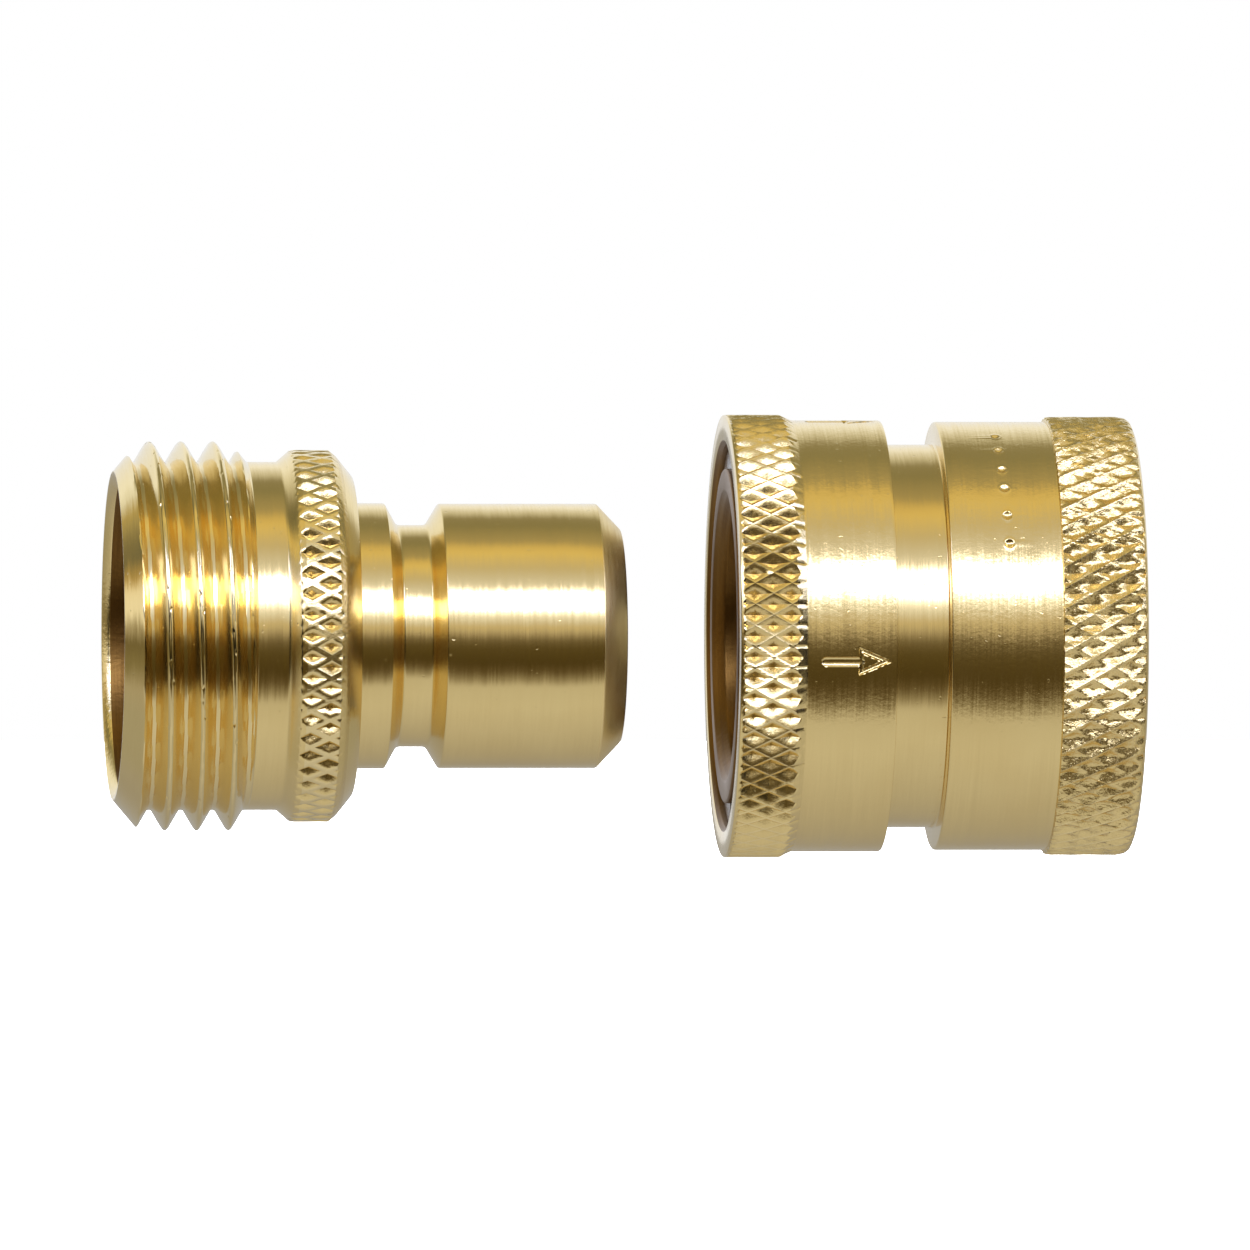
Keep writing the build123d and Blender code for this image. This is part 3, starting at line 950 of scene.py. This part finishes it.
def finishes():
    """The brass finishes that more than one piece uses, by zone name."""
    return {
        "turned": brass("brass_turned"),
        "thread": brass(
            "brass_thread", rough=0.1, tilt=0.06, streak=7000, around=420, tones=(BRASS_THREAD, BRASS_TARNISH)
        ),
        "band": brass("brass_band", rough=0.17, tilt=0.08, streak=6500, around=150, grain=0.2),
        # Dark bore tones: painted shade inside the bores
        "bore": brass(
            "brass_bore",
            rough=0.36,
            tilt=0.1,
            streak=3600,
            around=90,
            grain=0.4,
            lined=1.0,
            tones=(BORE_SHADE, BORE_SHADE_TARNISH),
        ),
        "face": brass("brass_face", rough=0.3, tilt=0.04, grain=0.4, spread=0.2),
    }


def chosen(finish, names, extra):
    """The named shared finishes, with a piece's own ones added."""
    return {**{name: finish[name] for name in names}, **extra}


def build_plug(finish):
    """Plug body: hose thread, knurled collar and smooth nose."""
    knurled = brass(
        "brass_collar_knurl", rough=0.2, tilt=0.02, grain=0.5, spread=0.1, cut=knurl_cut(COLLAR_KNURL)
    )
    own = {
        "chamfer": finish["turned"],
        "knurl": knurled,
        "nose": brass("brass_nose", rough=0.34, tilt=0.05, streak=7000, around=300, spread=0.2),
        "rim": brass("brass_rim", rough=0.16, tilt=0.06, streak=5000, around=500, grain=0.6),
    }
    materials = chosen(finish, ("turned", "thread", "bore", "face"), own)
    angles = ring_angles(COLLAR_KNURL["count"] * CELL_STEPS)
    plug = turned("plug_turned", plug_corners(), angles, plug_relief, materials, PLUG_X)
    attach(plug, "plug")
    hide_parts("plug_body")


def build_socket(finish):
    """Socket body: knurl, dotted band, bores and the holes for the lock balls."""
    knurled = brass(
        "brass_body_knurl", rough=0.22, tilt=0.04, grain=1.5, spread=0.1, cut=knurl_cut(BODY_KNURL)
    )
    materials = chosen(finish, ("turned", "band", "bore", "face", "thread"), {"knurl": knurled})
    angles = ring_angles(BODY_KNURL["count"] * CELL_STEPS, [(phi, 1.6, 0.22) for phi in DOT_PHIS])
    socket = turned("socket_turned", socket_corners(), angles, socket_relief, materials, 0.0)
    cut_ball_holes(socket)
    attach(socket, "socket")
    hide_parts("socket_body")


def build_sleeve(finish):
    """Release sleeve: knurled front band and stamped arrows."""
    knurled = brass(
        "brass_sleeve_knurl", rough=0.2, tilt=0.02, grain=0.4, spread=0.1, cut=knurl_cut(SLEEVE_KNURL)
    )
    materials = chosen(finish, ("turned", "band", "bore"), {"knurl": knurled})
    arrows = [(ARROW_PHI + k * 360 / ARROW_COUNT, 4.3, 0.26) for k in range(ARROW_COUNT)]
    angles = ring_angles(SLEEVE_KNURL["count"] * CELL_STEPS, arrows)
    sleeve = turned("sleeve_turned", sleeve_corners(), angles, sleeve_relief, materials, SLEEVE_X)
    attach(sleeve, "sleeve")
    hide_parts("release_sleeve")


def build_spring():
    """The spring, carried by the socket against its shoulder, with a mesh of its own."""
    spring = spring_coil(steel("spring_wire", (0.62, 0.61, 0.6, 1.0), 0.25, 2400))
    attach(spring, "socket")
    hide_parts("sleeve_spring")
    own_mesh(spring)


def build_washer():
    """Hose washer, seated in the socket."""
    washer = washer_ring(rubber("washer_rubber", (0.022, 0.022, 0.024, 1.0), 0.25))
    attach(washer, "socket")
    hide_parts("hose_washer")


def dress_cad_nodes():
    """Materials for the pieces that stay as the CAD made them."""
    dress("nose_seal", rubber("seal_rubber", (0.014, 0.014, 0.015, 1.0), 0.1))
    dress("retaining_ring", steel("ring_steel", (0.6, 0.6, 0.61, 1.0), 0.22, 3000))
    balls = steel("ball_steel", (0.74, 0.74, 0.76, 1.0), 0.08, 1500)
    for number in range(1, BALL_COUNT + 1):
        dress(f"lock_ball_{number}", balls)


def knurl_cut(knurl):
    """Outside radius and depth of a knurl, for its material's painted shade in the pits and lighter rib tops.
    """
    return knurl["r"], knurl["depth"]


def dress(node, material):
    """Give a CAD node a finished material."""
    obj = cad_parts[node]
    for slot in obj.material_slots:
        slot.material = material


finish = finishes()
build_plug(finish)
build_socket(finish)
build_sleeve(finish)
build_spring()
build_washer()
dress_cad_nodes()
studio_light()
studio_floor()
daylight()
camera()
bpy.context.scene.view_settings.view_transform = "Standard"
